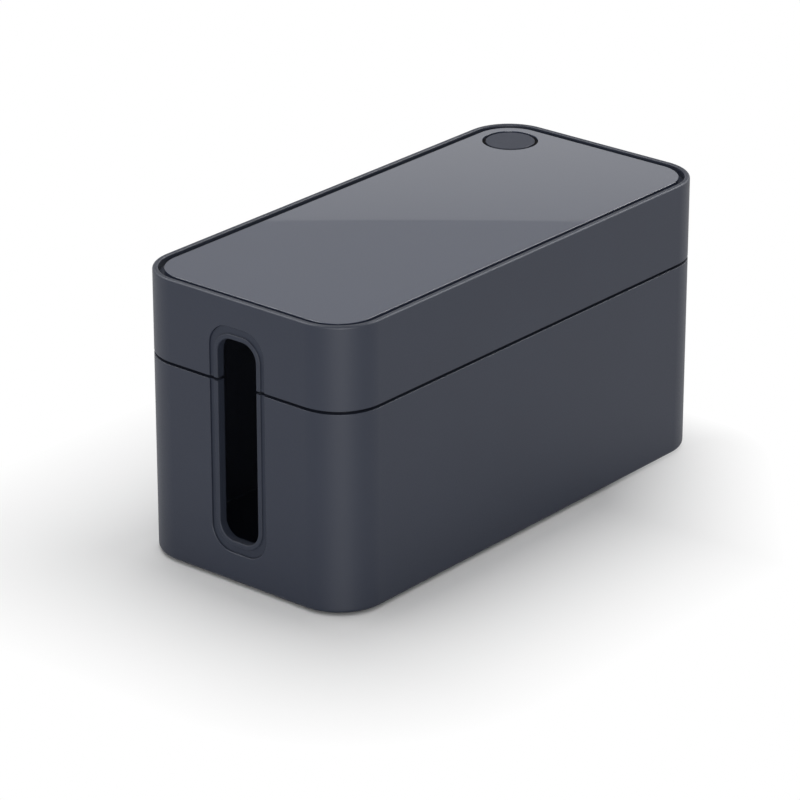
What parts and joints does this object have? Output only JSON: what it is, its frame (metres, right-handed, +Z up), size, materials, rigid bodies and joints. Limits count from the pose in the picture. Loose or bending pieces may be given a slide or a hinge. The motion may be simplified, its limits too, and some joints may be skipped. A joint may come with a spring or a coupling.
{
  "type": "cable management box",
  "caption": "Long rounded plastic box that hides a socket strip and its cables, with a lift-off lid, slots in both ends and a plugged outlet in its top.",
  "frame": {"origin": "middle of the footprint, on the surface that the feet stand on", "axes": "+X along the length towards the end with the outlet cap, +Y towards the long side beside the cap, +Z up"},
  "size_m": [0.246, 0.116, 0.128],
  "materials": {
    "shell": "fine satin moulded grain, dark blue grey",
    "panel": "smooth satin, dark blue grey",
    "cap": "matt, dark blue grey",
    "grommet": "matt black rubber",
    "trim": "soft matt edging, dark blue grey",
    "foot": "matt black rubber",
    "screw": "plated steel"
  },
  "bodies": {
    "base": {"base_tub": "shell", "tub_slot_trim_left": "trim", "tub_slot_trim_right": "trim", "foot_front_left": "foot", "foot_rear_left": "foot", "foot_front_right": "foot", "foot_rear_right": "foot"},
    "lid": {"lid_shell": "shell", "top_panel": "panel", "cap_grommet": "grommet", "lid_slot_trim_left": "trim", "lid_slot_trim_right": "trim", "panel_screw_1": "screw", "panel_screw_2": "screw", "panel_screw_3": "screw", "panel_screw_4": "screw", "panel_screw_5": "screw"},
    "cap": {"cable_cap": "cap"}
  },
  "joints": [
    {"name": "lid_lift", "type": "slide", "parent": "base", "child": "lid", "axis": [0, 0, 1], "range_m": [0, 0.06]},
    {"name": "cap_pull", "type": "slide", "parent": "lid", "child": "cap", "axis": [0, 0, 1], "range_m": [0, 0.025]}
  ]
}
